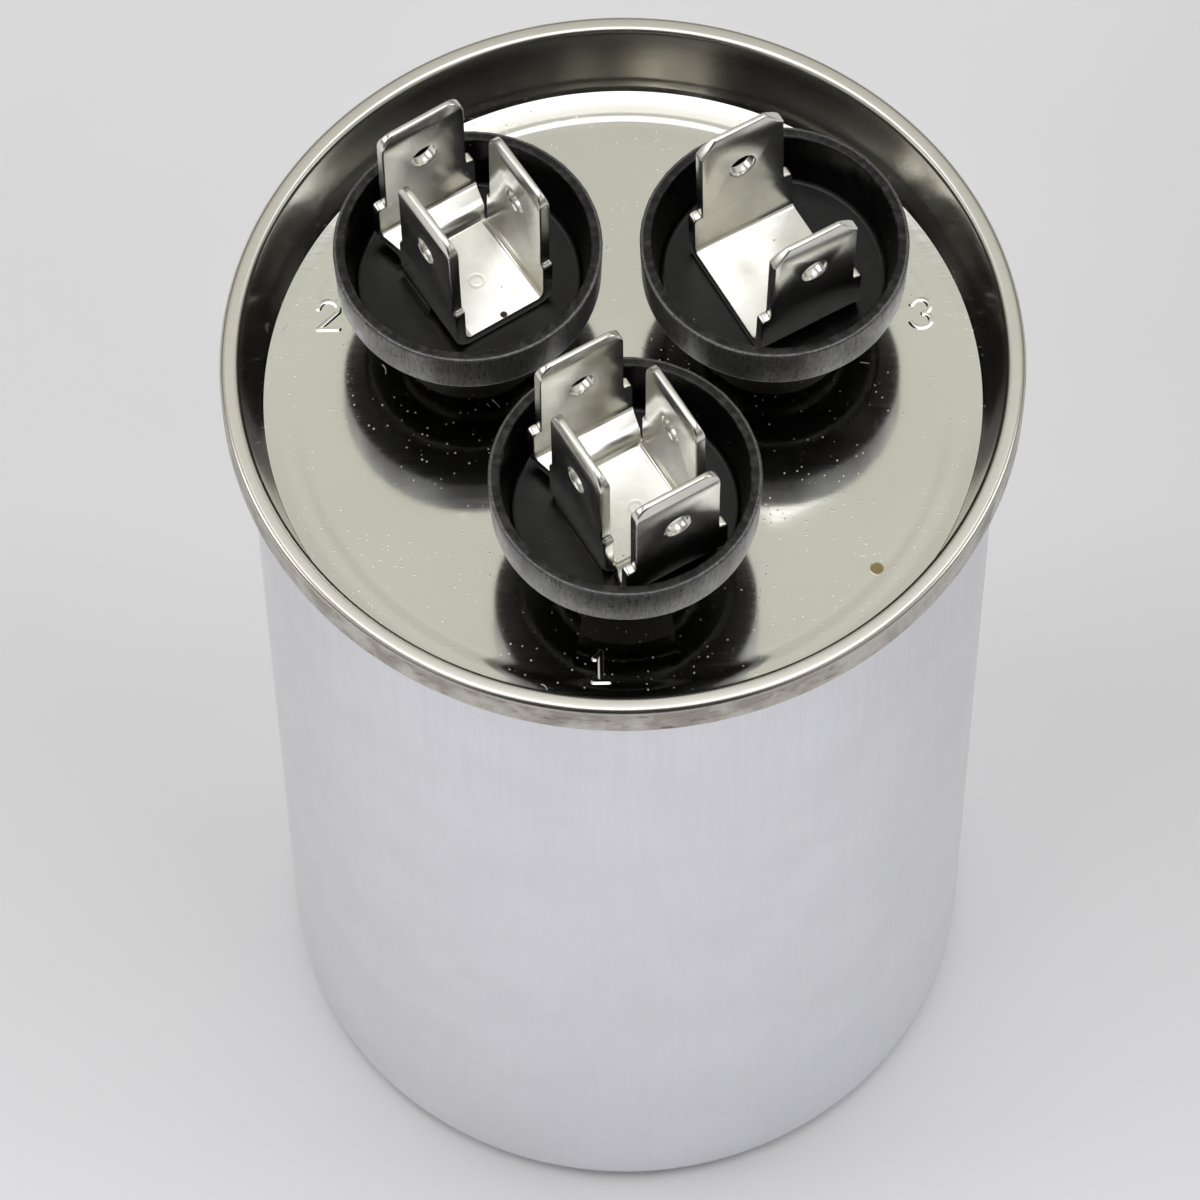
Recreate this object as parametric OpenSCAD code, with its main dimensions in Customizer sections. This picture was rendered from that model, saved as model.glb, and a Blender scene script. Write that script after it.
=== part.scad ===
// Dual motor run capacitor: a drawn can closed by a double-seamed lid,
// three terminal cups with quick-connect blades, and the wound element inside.
// The base of the can stands on Z = 0, with Z up and the front terminal on -Y.

/* [Can] */
// Outside diameter of the can wall
can_od = 50.8; // [44:0.1:64]
// Height from the base to the crown of the seam
can_h = 80; // [72:0.5:120]
// Wall of the can
can_t = 0.32; // [0.25:0.01:0.4]
// Base of the can
base_t = 0.8; // [0.5:0.1:1.5]
// Outside radius between base and wall
base_r = 2; // [1.6:0.1:3]

/* [Lid and seam] */
// Sheet of the lid
lid_t = 0.22; // [0.18:0.01:0.28]
// How far the seam stands out past the can wall
seam_out = 1.55; // [1.35:0.01:1.9]
// Height of the seam from its lower edge to its crown
seam_len = 2.8; // [2.5:0.1:3.4]
// Clearance between the folded layers
seam_gap = 0.03; // [0.02:0.01:0.05]
// Slope of the can wall inside the seam, in degrees
body_flare = 12; // [10:0.5:14]
// Depth of the panel below the crown
countersink = 5.65; // [4.5:0.05:7]
// Slope of the chuck wall, in degrees
chuck_taper = 14.5; // [14:0.5:18]
// Radius between chuck wall and panel
foot_r = 0.6; // [0.3:0.1:1]

/* [Terminal cups] */
// Radius of the circle that carries the three terminals
pitch_r = 11.8; // [11.2:0.1:13]
// Outside diameter of a cup
cup_od = 18; // [17.6:0.1:19]
// Wall of a cup at its rim
cup_t = 0.8; // [0.6:0.05:1]
// Height of a cup's rim above the panel
cup_top = 10.3; // [9.6:0.1:12]
// Height of the outer band of a cup
band_h = 3.5; // [3:0.1:4]
// Depth of the floor below the rim
cup_depth = 4.3; // [3.8:0.1:4.6]
// Thickness of the floor
floor_t = 1.4; // [1.2:0.1:1.6]
// Diameter of the flat floor
floor_d = 14.3; // [14.2:0.1:14.8]
// Diameter of the neck under a cup
neck_d = 9; // [8.4:0.1:10]
// Diameter of the spigot that passes the lid
spigot_d = 6; // [5.4:0.1:6.4]
// Clearance of the spigot in the lid
spigot_fit = 0.2; // [0.1:0.05:0.3]

/* [Blades] */
// Width of a blade
blade_w = 6.35; // [6.1:0.05:6.5]
// Sheet of the blades
blade_t = 0.8; // [0.7:0.05:0.85]
// Inside radius of the bends
bend_r = 0.4; // [0.3:0.05:0.6]
// Diameter of the hole in a blade
hole_d = 1.9; // [1.6:0.05:2.2]
// Hole centre below the tip
hole_down = 4.1; // [3.6:0.05:4.6]
// Length of the thinned tip
lead_in = 0.8; // [0.5:0.05:1.2]
// Thickness at the very tip
tip_t = 0.4; // [0.3:0.05:0.6]
// Size of the cut or rounded tip corners
corner = 1.2; // [0.8:0.1:1.6]
// Width of the root below the shoulders of an end blade
root_w = 7.7; // [7.2:0.1:7.8]
// Width of the root of a side blade beside a ledge
side_root_w = 7.1; // [6.8:0.1:7.2]
// Shoulders above the base sheet
shoulder_h = 3.6; // [3:0.1:4.2]

/* [Terminal sets] */
// Tips above the base of the four-blade set
four_tip = 10.9; // [10:0.1:12]
// Tips above the base of the three-blade set
three_tip = 11.3; // [10:0.1:12]
// Tips above the base of the two-blade set
two_tip = 11.5; // [10:0.1:12]
// Lean of the four-blade set's blades away from each other, in degrees
four_lean = 0.2; // [0:0.2:1.6]
// Lean of the three-blade set's blades, in degrees
three_lean = 0.6; // [0:0.2:1.6]
// Lean of the two-blade set's blades, in degrees
two_lean = 2; // [0:0.2:3]
// Space between the side blades of the four-blade set
four_gap = 6.3; // [5.8:0.1:6.4]
// Space between the side blades of the three-blade set
three_gap = 6; // [5.8:0.1:6.4]
// Space between the blades of the two-blade set
two_gap = 8; // [7:0.1:9]
// Centre to the foot of a riser in the four-blade set
four_foot = 3.7; // [3.6:0.05:3.9]
// Centre to the foot of the riser in the three-blade set
three_foot = 4; // [3.6:0.05:4.1]
// Ledge before the back blade of the four-blade set
four_back_ledge = 2.1; // [1.8:0.05:2.2]
// Ledge before the front blade of the four-blade set
four_front_ledge = 1.8; // [1.5:0.05:1.85]
// Ledge before the back blade of the three-blade set
three_back_ledge = 2.15; // [1.8:0.05:2.3]
// Offset of the four-blade set from its cup, towards +X and towards -Y
four_aside = 0.2; // [0:0.05:0.25]
four_ahead = 0.2; // [0:0.05:0.25]
// Offset of the three-blade set from its cup, towards +X and towards -Y
three_aside = 0.55; // [0.3:0.05:0.6]
three_ahead = 0.6; // [0.4:0.05:0.7]
// Offset of the two-blade set from its cup, towards -Y
two_ahead = 0.3; // [0:0.05:0.4]
// Turn of the four-blade set, in degrees
four_turn = 30; // [0:1:90]
// Turn of the three-blade set, in degrees
three_turn = 32; // [0:1:90]
// Turn of the two-blade set, in degrees
two_turn = 29; // [0:1:90]

/* [Terminal pins and seals] */
// Diameter of a pin's shank
pin_d = 3; // [2.4:0.1:3.4]
// Diameter of a pin's head
pin_head_d = 6; // [5:0.1:7]
// Height of a pin's head
pin_head_t = 1; // [0.7:0.05:1.1]
// Diameter of the staked end
stake_d = 4.8; // [4.4:0.1:5.6]
// Height of the staked end
stake_t = 0.8; // [0.5:0.1:1.2]
// Clearance of the shank in its bores
pin_fit = 0.05; // [0.03:0.01:0.1]
// Diameter of the sealing gasket
gasket_d = 10.4; // [10:0.1:11.4]
// Thickness of the sealing gasket
gasket_t = 1.2; // [0.8:0.1:1.6]
// Diameter of the inner washer
washer_d = 10; // [9:0.1:12]
// Thickness of the inner washer
washer_t = 1.2; // [0.8:0.1:1.6]
// Diameter of the lug's eye
lug_d = 6.8; // [6.2:0.1:8]
// Thickness of the lug
lug_t = 0.5; // [0.3:0.05:0.8]
// Reach of the lug's tongue from the pin
lug_reach = 5.8; // [5.6:0.1:6.2]

/* [Element] */
// Drop from the staked pins to the interrupter plate
plate_drop = 3.5; // [2:0.1:8]
// Outside diameter of the core tube
core_od = 12; // [11:0.1:12.6]
// Wall of the core tube
core_t = 1; // [0.6:0.1:1.4]
// How far the core tube stands above the end face
core_rise = 0.5; // [0.2:0.1:1]
// Wound thickness of the inner section
inner_wind = 4.5; // [3.8:0.1:5]
// Barrier between the sections
barrier_t = 0.6; // [0.3:0.1:1]
// How far the barrier stands above the end face
barrier_rise = 1.5; // [0.5:0.1:2]
// Sprayed metal on an end face
spray_t = 0.5; // [0.3:0.05:0.8]
// Clearance between wound layers and their tubes
wind_fit = 0.05; // [0.03:0.01:0.15]
// Wall of the insulating sleeve
sleeve_t = 0.5; // [0.3:0.1:1]
// How far the sleeve stands above the end face
sleeve_rise = 2; // [1:0.1:4]

/* [Inner carriers] */
// Floor of the insulating cup under the element
seat_t = 1; // [0.6:0.1:1.6]
// Wall of that cup
seat_wall = 0.8; // [0.5:0.1:1.2]
// Height of that cup
seat_h = 9; // [5:0.5:20]
// Clearance of the inner parts in the can
can_fit = 0.15; // [0.1:0.05:0.3]
// Thickness of the interrupter plate
plate_t = 1.6; // [1.2:0.1:2.4]
// Clearance of the plate in the can
plate_fit = 0.5; // [0.3:0.05:0.8]
// Clearance round a lead in the plate
slot_fit = 0.5; // [0.3:0.05:0.8]
// Height of the ring that carries the plate
ring_h = 5.4; // [4.8:0.1:6]
// Wall of that ring
ring_t = 2; // [1:0.1:3]
// Distance of that ring from the edge of the element
ring_inset = 0.8; // [0.4:0.1:1.4]
// Width of the connecting leads
lead_w = 3; // [2:0.1:3.4]
// Thickness of the connecting leads
lead_t = 0.3; // [0.2:0.05:0.4]
// Length of a lead's soldered foot
lead_foot = 3.4; // [2.6:0.1:3.6]

/* [Hidden] */
$fn = 96;

// Angles of the terminals round the can's axis
front_a = 270;
left_a = 150;
right_a = 30;

// Mid-lines of the seam's five layers, from the outside in
can_r = can_od / 2;
seam_r = can_r + seam_out;
seam_wall_r = seam_r - lid_t / 2;
layer_step = (lid_t + can_t) / 2 + seam_gap;
body_hook_r = seam_wall_r - layer_step;
cover_hook_r = body_hook_r - layer_step;
body_wall_r = cover_hook_r - layer_step;
chuck_wall_r = body_wall_r - layer_step;
bead_r = (seam_wall_r - chuck_wall_r) / 2;
fold_r = (body_hook_r - body_wall_r) / 2;
curl_r = (seam_wall_r - cover_hook_r) / 2;
seam_z = can_h - seam_len;
body_top_z = can_h - lid_t - seam_gap - can_t / 2;
hook_tip_z = body_top_z - fold_r - seam_gap;
hook_end_z = seam_z + lid_t + seam_gap + curl_r;
chuck_top_r = seam_wall_r - bead_r - bead_r / tan(45 + chuck_taper / 2);
chuck_foot_r = chuck_top_r - countersink * tan(chuck_taper);
flange_top_r = body_hook_r - fold_r - fold_r / tan(45 + body_flare / 2);
flare_z = body_top_z - (flange_top_r - can_r + can_t / 2) / tan(body_flare);
can_bore_r = can_r - can_t;

// Heights of the terminal stack, measured from the top of the panel
panel_z = can_h - countersink;
floor_z = cup_top - cup_depth;
neck_top_z = floor_z - floor_t;
washer_top_z = -lid_t;
lug_top_z = washer_top_z - washer_t;
stake_top_z = lug_top_z - lug_t;
tongue_w = lead_w + 0.4;
tongue_z = panel_z + stake_top_z;

// Moulding radii and drafts of the cups
rim_round = 0.15;
band_draft = 0.12;
band_round = 0.3;
bowl_round = 0.8;
neck_round = 0.6;
well_fillet = 0.4;

// The step up to a ledge, with a tight foot and a soft edge, and the notches beside it
ledge_up = blade_t;
riser_run = 0.4;
riser_foot = blade_t / 2 + 0.05;
riser_edge = blade_t / 2 + 0.45;
notch = 0.45;
notch_in = 0.6;
ear_round = 0.35;

// Radii and heights of the element
core_r = core_od / 2;
inner_r = core_r + wind_fit + inner_wind;
barrier_r = inner_r + wind_fit + barrier_t;
seat_r = can_bore_r - can_fit;
sleeve_r = seat_r - seat_wall - wind_fit;
winding_r = sleeve_r - sleeve_t - wind_fit;
seat_top_z = base_t + seat_t;
spray_z = seat_top_z + lead_t;
film_z = spray_z + spray_t;
plate_z = tongue_z - stake_t - plate_drop - plate_t;
end_z = plate_z - ring_h;
film_top_z = end_z - spray_t;
film_w = film_top_z - film_z;

// Routes of the leads: straps on the lugs, drops through the plate, soldered feet
lead_bend = 2 * lead_t;
stake_clear = 0.3;
drop_r = core_r + wind_fit + 0.6;
common_r = drop_r - 0.3;
strap_z = tongue_z - lead_t / 2;
strap_r = pitch_r - stake_d / 2 - stake_clear;
strap_out_r = pitch_r + stake_d / 2 + stake_clear;
outer_drop_r = pitch_r + lug_reach - lead_t;
foot_z = end_z + lead_t / 2;
common_z = end_z + core_rise + 1.5;
common_fall = 1.6;

function unit(v) = v / norm(v);

// Arc that rounds corner b of the line a-b-c with radius r
function corner_arc(a, b, c, r, n) =
    let (u = unit(a - b), v = unit(c - b), half = acos(u * v) / 2)
    let (o = b + unit(u + v) * r / sin(half), p = b + u * r / tan(half), q = b + v * r / tan(half))
    let (s = atan2(p.y - o.y, p.x - o.x), e = atan2(q.y - o.y, q.x - o.x))
    let (turn = e - s > 180 ? e - s - 360 : e - s < -180 ? e - s + 360 : e - s)
    [for (i = [0:n]) o + r * [cos(s + turn * i / n), sin(s + turn * i / n)]];

function flat(p) = [p.x, p.y];

// The same points without those that fall on the one before
function distinct(p) = [
    for (i = [0:len(p) - 1]) if (i == 0 || norm(p[i] - p[max(i, 1) - 1]) > 0.001) p[i]];

// A bent line through corners [x, y, radius]; its two ends have no radius
function bent(c, n = 8) = distinct([
    flat(c[0]),
    for (i = [1:len(c) - 2]) each (c[i].z > 0
        ? corner_arc(flat(c[i - 1]), flat(c[i]), flat(c[i + 1]), c[i].z, n)
        : [flat(c[i])]),
    flat(c[len(c) - 1])]);

function turned(v) = [-v.y, v.x];

// Mitred normal of a line at point i
function mitre(line, i) =
    let (last = len(line) - 1)
    let (a = turned(unit(line[max(i, 1)] - line[max(i, 1) - 1])))
    let (b = turned(unit(line[min(i, last - 1) + 1] - line[min(i, last - 1)])))
    let (m = unit(a + b)) m / (m * a);

function side(line, d) = [for (i = [0:len(line) - 1]) line[i] + mitre(line, i) * d];

function reversed(list) = [for (i = [len(list) - 1:-1:0]) list[i]];

// Outline of a sheet of thickness t that follows the line
function sheet(line, t) = concat(side(line, t / 2), reversed(side(line, -t / 2)));

// The same sheet, thinned towards each end whose flag is set
function blade_sheet(line, t, thin_start, thin_end) =
    let (last = len(line) - 1)
    let (s = unit(line[1] - line[0]), e = unit(line[last - 1] - line[last]))
    let (inner = [for (i = [1:last - 1]) line[i]])
    let (full = concat(
        [line[0] + s * (thin_start ? lead_in : 0)], inner, [line[last] + e * (thin_end ? lead_in : 0)]))
    let (head = thin_start ? [line[0] + turned(s) * tip_t / 2] : [])
    let (head2 = thin_start ? [line[0] - turned(s) * tip_t / 2] : [])
    let (tail = thin_end ? [line[last] - turned(e) * tip_t / 2] : [])
    let (tail2 = thin_end ? [line[last] + turned(e) * tip_t / 2] : [])
    concat(head, side(full, t / 2), tail, tail2, reversed(side(full, -t / 2)), head2);

module at_terminal(angle) {
    translate([pitch_r * cos(angle), pitch_r * sin(angle), panel_z])
        children();
}

module ring(r_out, r_in, z, h) {
    translate([0, 0, z])
        difference() {
            cylinder(r = r_out, h = h);
            translate([0, 0, -1])
                cylinder(r = r_in, h = h + 2);
        }
}

// Drawn can: round-cornered base, straight wall, and the body hook of the seam
module can() {
    wall = bent([
        [can_r - can_t / 2, base_r + 1, 0],
        [can_r - can_t / 2, flare_z, 1],
        [flange_top_r, body_top_z, fold_r],
        [body_hook_r, body_top_z, fold_r],
        [body_hook_r, hook_end_z, 0]]);
    outer = corner_arc([0, 0], [can_r, 0], [can_r, can_h], base_r, 8);
    inner = corner_arc([0, base_t], [can_bore_r, base_t], [can_bore_r, can_h], base_r - can_t, 8);
    color("#c3c7cf")
        rotate_extrude()
            polygon(concat([[0, 0]], outer, side(wall, -can_t / 2),
                reversed(side(wall, can_t / 2)), reversed(inner), [[0, base_t]]));
}

// Pressed lid: panel with three holes, sloping chuck wall, bead, seam wall and cover hook
module lid() {
    line = bent([
        [0, panel_z - lid_t / 2, 0],
        [chuck_foot_r, panel_z - lid_t / 2, foot_r],
        [chuck_top_r, can_h - lid_t / 2, bead_r],
        [seam_wall_r, can_h - lid_t / 2, bead_r],
        [seam_wall_r, seam_z + lid_t / 2, curl_r],
        [cover_hook_r, seam_z + lid_t / 2, curl_r],
        [cover_hook_r, hook_tip_z, 0]]);
    color("#c9c6b8")
        difference() {
            rotate_extrude()
                polygon(sheet(line, lid_t));
            for (angle = [front_a, left_a, right_a])
                at_terminal(angle)
                    translate([0, 0, -lid_t - 1])
                        cylinder(d = spigot_d + 2 * spigot_fit, h = lid_t + 2);
        }
}

// Sealing compound in the wedge between the can wall and the cover hook
module seam_compound() {
    low_z = hook_end_z;
    high_z = hook_tip_z - seam_gap;
    hook_side = cover_hook_r - lid_t / 2 - seam_gap / 2;
    wall_low = flange_top_r - (body_top_z - low_z) * tan(body_flare)
        + can_t / 2 / cos(body_flare) + seam_gap / 2;
    wall_high = wall_low + (high_z - low_z) * tan(body_flare);
    color("#6b5a45")
        rotate_extrude()
            polygon([[wall_low, low_z], [hook_side, low_z], [hook_side, high_z],
                [min(wall_high, hook_side - seam_gap / 2), high_z]]);
}

// Moulded cup: rim band, tapered well, bowl underneath, neck and spigot
module cup() {
    rim_r = cup_od / 2;
    well_r = rim_r - cup_t;
    band_z = cup_top - band_h;
    band_low_r = rim_r - band_draft;
    bowl_r = floor_d / 2 + 0.1;
    well_foot_r = floor_d / 2 + well_fillet;
    spigot_z = lug_top_z + pin_fit;
    outline = concat(
        [[0, spigot_z], [spigot_d / 2, spigot_z], [spigot_d / 2, gasket_t], [neck_d / 2, gasket_t]],
        corner_arc([neck_d / 2, gasket_t], [neck_d / 2, neck_top_z], [bowl_r, neck_top_z], neck_round, 4),
        corner_arc([neck_d / 2, neck_top_z], [bowl_r, neck_top_z], [band_low_r, band_z], bowl_round, 4),
        corner_arc([bowl_r, neck_top_z], [band_low_r, band_z], [rim_r, cup_top], band_round, 4),
        corner_arc([rim_r, band_z], [rim_r, cup_top], [well_r, cup_top], rim_round, 3),
        corner_arc([rim_r, cup_top], [well_r, cup_top], [well_foot_r, floor_z], rim_round, 3),
        corner_arc([well_r, cup_top], [well_foot_r, floor_z], [0, floor_z], well_fillet, 4),
        [[0, floor_z]]);
    color("#2b2b2d")
        difference() {
            rotate_extrude()
                polygon(outline);
            translate([0, 0, spigot_z - 1])
                cylinder(d = pin_d + 2 * pin_fit, h = floor_z - spigot_z);
            translate([0, 0, floor_z - pin_head_t])
                cylinder(d = pin_head_d + 2 * pin_fit, h = pin_head_t + 1);
        }
}

// Front view of a blade over its root, with cut or rounded tip corners
module blade_outline(tip, rounded, root_width) {
    top = blade_t + tip;
    step = blade_t + shoulder_h;
    half = blade_w / 2;
    root = root_width / 2;
    right_side = concat(
        [[root, -1]],
        corner_arc([root, -1], [root, step], [half, step], ear_round, 3),
        [[half, step]],
        rounded
            ? corner_arc([half, step], [half, top], [0, top], corner, 6)
            : [[half, top - corner], [half - corner, top]]);
    difference() {
        polygon(concat(right_side, reversed([for (p = right_side) [-p.x, p.y]])));
        translate([0, top - hole_down])
            circle(d = hole_d);
    }
}

// Sheet bent in the X-Z plane, cut to the blade's outline seen along X
module folded(line, both, tip, rounded, root_width) {
    intersection() {
        rotate([90, 0, 0])
            linear_extrude(root_width, center = true)
                polygon(blade_sheet(line, blade_t, true, both));
        rotate([90, 0, 90])
            linear_extrude(4 * root_w, center = true)
                blade_outline(tip, rounded, root_width);
    }
}

// Mid-line of one upright blade from its tip to its bend, on side s of the set
function upright(s, inside, foot, tip, lean) = [
    [s * (inside + blade_t / 2 + (blade_t + tip - foot) * tan(lean)), blade_t + tip, 0],
    [s * (inside + blade_t / 2), foot + blade_t / 2, bend_r + blade_t / 2]];

// Mid-line of a ledge and of its riser down to the base sheet
function ledge(foot) = [
    [foot + riser_run, ledge_up + blade_t / 2, riser_edge],
    [foot, blade_t / 2, riser_foot]];

// Two side blades and the sheet between them, facing each other along X
module side_blades(gap, tip, lean, rounded, root_width) {
    line = concat(upright(-1, gap / 2, 0, tip, lean), reversed(upright(1, gap / 2, 0, tip, lean)));
    folded(bent(line, 5), true, tip, rounded, root_width);
}

// Half plan of the strip with a ledge: notched beside the side blades, full width at its own
function strip_edge(gap, foot, reach) = [
    [-1, gap / 2 + blade_t],
    [foot - notch_in, gap / 2 + blade_t],
    [foot - notch_in, gap / 2],
    [foot + riser_run, root_w / 2 - notch],
    [reach, root_w / 2],
    [reach + 2 * blade_t, root_w / 2]];

// One end blade, standing on a ledge a sheet above the base
module ledge_blade(gap, foot, run, tip, lean) {
    reach = foot + run;
    line = concat(upright(1, reach, ledge_up, tip, lean), ledge(foot), [[0, blade_t / 2, 0]]);
    edge = strip_edge(gap, foot, reach);
    intersection() {
        folded(bent(line, 5), false, tip, true, root_w);
        translate([0, 0, -1])
            linear_extrude(tip + 4)
                polygon(concat(edge, reversed([for (p = edge) [p.x, -p.y]])));
    }
}

// A set turned and seated on the floor of its cup
module seated(angle, turn, aside, ahead) {
    color("#d9d6c8")
        at_terminal(angle)
            translate([aside, -ahead, floor_z])
                rotate([0, 0, turn])
                    children();
}

module terminal_front() {
    seated(front_a, four_turn, four_aside, four_ahead) {
        side_blades(four_gap, four_tip, four_lean, true, side_root_w);
        rotate([0, 0, 90])
            ledge_blade(four_gap, four_foot, four_back_ledge, four_tip, four_lean);
        rotate([0, 0, -90])
            ledge_blade(four_gap, four_foot, four_front_ledge, four_tip, four_lean);
    }
}

module terminal_left() {
    seated(left_a, three_turn, three_aside, three_ahead) {
        side_blades(three_gap, three_tip, three_lean, true, side_root_w);
        rotate([0, 0, 90])
            ledge_blade(three_gap, three_foot, three_back_ledge, three_tip, three_lean);
    }
}

module terminal_right() {
    seated(right_a, two_turn, 0, two_ahead)
        rotate([0, 0, 90])
            side_blades(two_gap, two_tip, two_lean, false, root_w);
}

// Pin: head under the base sheet, shank through cup, washer and lug, staked end
module pin() {
    color("#b9b39a")
        union() {
            translate([0, 0, floor_z - pin_head_t])
                cylinder(d = pin_head_d, h = pin_head_t);
            translate([0, 0, stake_top_z])
                cylinder(d = pin_d, h = floor_z - pin_head_t - stake_top_z);
            translate([0, 0, stake_top_z - stake_t])
                cylinder(d1 = pin_d, d2 = stake_d, h = stake_t);
        }
}

module gasket() {
    color("#1d1d1f")
        ring(gasket_d / 2, spigot_d / 2 + pin_fit, 0, gasket_t);
}

module washer() {
    color("#7a5230")
        ring(washer_d / 2, spigot_d / 2 + pin_fit, lug_top_z, washer_t);
}

// Lug: an eye on the pin and a tongue along the radius, outwards when dir is 1
module lug(angle, dir) {
    color("#cfc9b0")
        at_terminal(angle)
            rotate([0, 0, angle])
                translate([0, 0, stake_top_z])
                    difference() {
                        union() {
                            cylinder(d = lug_d, h = lug_t);
                            translate([dir > 0 ? 0 : -lug_reach, -tongue_w / 2, 0])
                                cube([lug_reach, tongue_w, lug_t]);
                        }
                        translate([0, 0, -1])
                            cylinder(d = pin_d + 2 * pin_fit, h = lug_t + 2);
                    }
}

// A lead is a strap bent in the radial plane of its terminal
module lead(angle, line) {
    color("#d4b483")
        rotate([90, 0, angle])
            linear_extrude(lead_w, center = true)
                polygon(sheet(bent(line, 4), lead_t));
}

// Common lead: down the core tube and out under the lower end face
module lead_front() {
    lead(front_a, [
        [strap_r, strap_z, 0],
        [common_r, strap_z, lead_bend],
        [common_r, common_z + common_fall, lead_bend],
        [0, common_z, lead_bend],
        [0, seat_top_z + lead_t / 2, lead_bend],
        [core_r + lead_foot, seat_top_z + lead_t / 2, 0]]);
}

// Lead of the outer section
module lead_left() {
    lead(left_a, [
        [strap_out_r, strap_z, 0],
        [outer_drop_r, strap_z, lead_bend],
        [outer_drop_r, foot_z, lead_bend],
        [outer_drop_r - lead_foot, foot_z, 0]]);
}

// Lead of the inner section
module lead_right() {
    lead(right_a, [
        [strap_r, strap_z, 0],
        [drop_r, strap_z, lead_bend],
        [drop_r, foot_z, lead_bend],
        [drop_r + lead_foot, foot_z, 0]]);
}

// Interrupter plate with a slot for each lead
module interrupter_plate() {
    slot = [lead_t + 2 * slot_fit, lead_w + 2 * slot_fit, plate_t + 2];
    color("#8a5a32")
        difference() {
            translate([0, 0, plate_z])
                cylinder(r = can_bore_r - plate_fit, h = plate_t);
            for (spot = [[front_a, common_r], [left_a, outer_drop_r], [right_a, drop_r]])
                rotate([0, 0, spot[0]])
                    translate([spot[1], 0, plate_z + plate_t / 2])
                        cube(slot, center = true);
        }
}

module spacer_ring() {
    color("#e4e1d8")
        ring(winding_r - ring_inset, winding_r - ring_inset - ring_t, end_z, ring_h);
}

// Core tube, slotted at its foot for the common lead
module core_tube() {
    color("#e9e6dc")
        difference() {
            ring(core_r, core_r - core_t, seat_top_z, end_z + core_rise - seat_top_z);
            translate([0, -core_r, seat_top_z + lead_t])
                cube([lead_w + 2 * slot_fit, core_od, 2 * lead_t + 2 * slot_fit], center = true);
        }
}

module winding_inner() {
    color("#cfd2d6")
        ring(inner_r, core_r + wind_fit, film_z, film_w);
}

module section_barrier() {
    color("#efe9d6")
        ring(barrier_r, inner_r + wind_fit, film_z, end_z + barrier_rise - film_z);
}

module winding_outer() {
    color("#cfd2d6")
        ring(winding_r, barrier_r + wind_fit, film_z, film_w);
}

module end_metal_bottom() {
    color("#9a9c9f")
        ring(winding_r, core_r + wind_fit, spray_z, spray_t);
}

module end_metal_inner() {
    color("#9a9c9f")
        ring(inner_r, core_r + wind_fit, film_top_z, spray_t);
}

module end_metal_outer() {
    color("#9a9c9f")
        ring(winding_r, barrier_r + wind_fit, film_top_z, spray_t);
}

module insulating_sleeve() {
    color("#d8cfae")
        ring(sleeve_r, sleeve_r - sleeve_t, seat_top_z, end_z + sleeve_rise - seat_top_z);
}

// Insulating cup under the element, chamfered to clear the can's corner
module bottom_cup() {
    color("#e4e1d8")
        rotate_extrude()
            polygon([[0, base_t], [seat_r - base_r, base_t], [seat_r, base_t + base_r],
                [seat_r, base_t + seat_h], [seat_r - seat_wall, base_t + seat_h],
                [seat_r - seat_wall, seat_top_z], [0, seat_top_z]]);
}

can();
lid();
seam_compound();
at_terminal(front_a) cup();  // cup_front
at_terminal(left_a) cup();  // cup_left
at_terminal(right_a) cup();  // cup_right
terminal_front();
terminal_left();
terminal_right();
at_terminal(front_a) pin();  // pin_front
at_terminal(left_a) pin();  // pin_left
at_terminal(right_a) pin();  // pin_right
at_terminal(front_a) gasket();  // gasket_front
at_terminal(left_a) gasket();  // gasket_left
at_terminal(right_a) gasket();  // gasket_right
at_terminal(front_a) washer();  // washer_front
at_terminal(left_a) washer();  // washer_left
at_terminal(right_a) washer();  // washer_right
lug(front_a, -1);  // lug_front
lug(left_a, 1);  // lug_left
lug(right_a, -1);  // lug_right
lead_front();
lead_left();
lead_right();
interrupter_plate();
spacer_ring();
core_tube();
winding_inner();
winding_outer();
section_barrier();
end_metal_bottom();
end_metal_inner();
end_metal_outer();
insulating_sleeve();
bottom_cup();
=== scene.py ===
import math
import bmesh
import bpy
import numpy as np
from mathutils import Matrix, Vector


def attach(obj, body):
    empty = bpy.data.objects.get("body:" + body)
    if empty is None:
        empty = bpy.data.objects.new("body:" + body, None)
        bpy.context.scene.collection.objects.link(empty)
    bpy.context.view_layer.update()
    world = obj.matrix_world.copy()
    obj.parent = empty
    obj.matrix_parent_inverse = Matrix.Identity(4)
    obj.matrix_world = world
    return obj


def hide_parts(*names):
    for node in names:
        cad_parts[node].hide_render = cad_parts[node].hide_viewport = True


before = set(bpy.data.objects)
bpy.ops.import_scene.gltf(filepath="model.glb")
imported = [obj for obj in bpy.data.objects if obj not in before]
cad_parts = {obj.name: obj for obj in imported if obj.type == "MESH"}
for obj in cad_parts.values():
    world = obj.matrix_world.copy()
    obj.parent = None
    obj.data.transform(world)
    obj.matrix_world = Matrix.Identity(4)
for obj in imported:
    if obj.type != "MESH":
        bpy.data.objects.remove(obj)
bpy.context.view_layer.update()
mm = 0.001


def linear(hexCode):
    # sRGB hex to linear light
    values = [int(hexCode[i:i + 2], 16) / 255 for i in (1, 3, 5)]
    return tuple(v / 12.92 if v <= 0.04045 else ((v + 0.055) / 1.055) ** 2.4 for v in values) + (1.0,)


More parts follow.
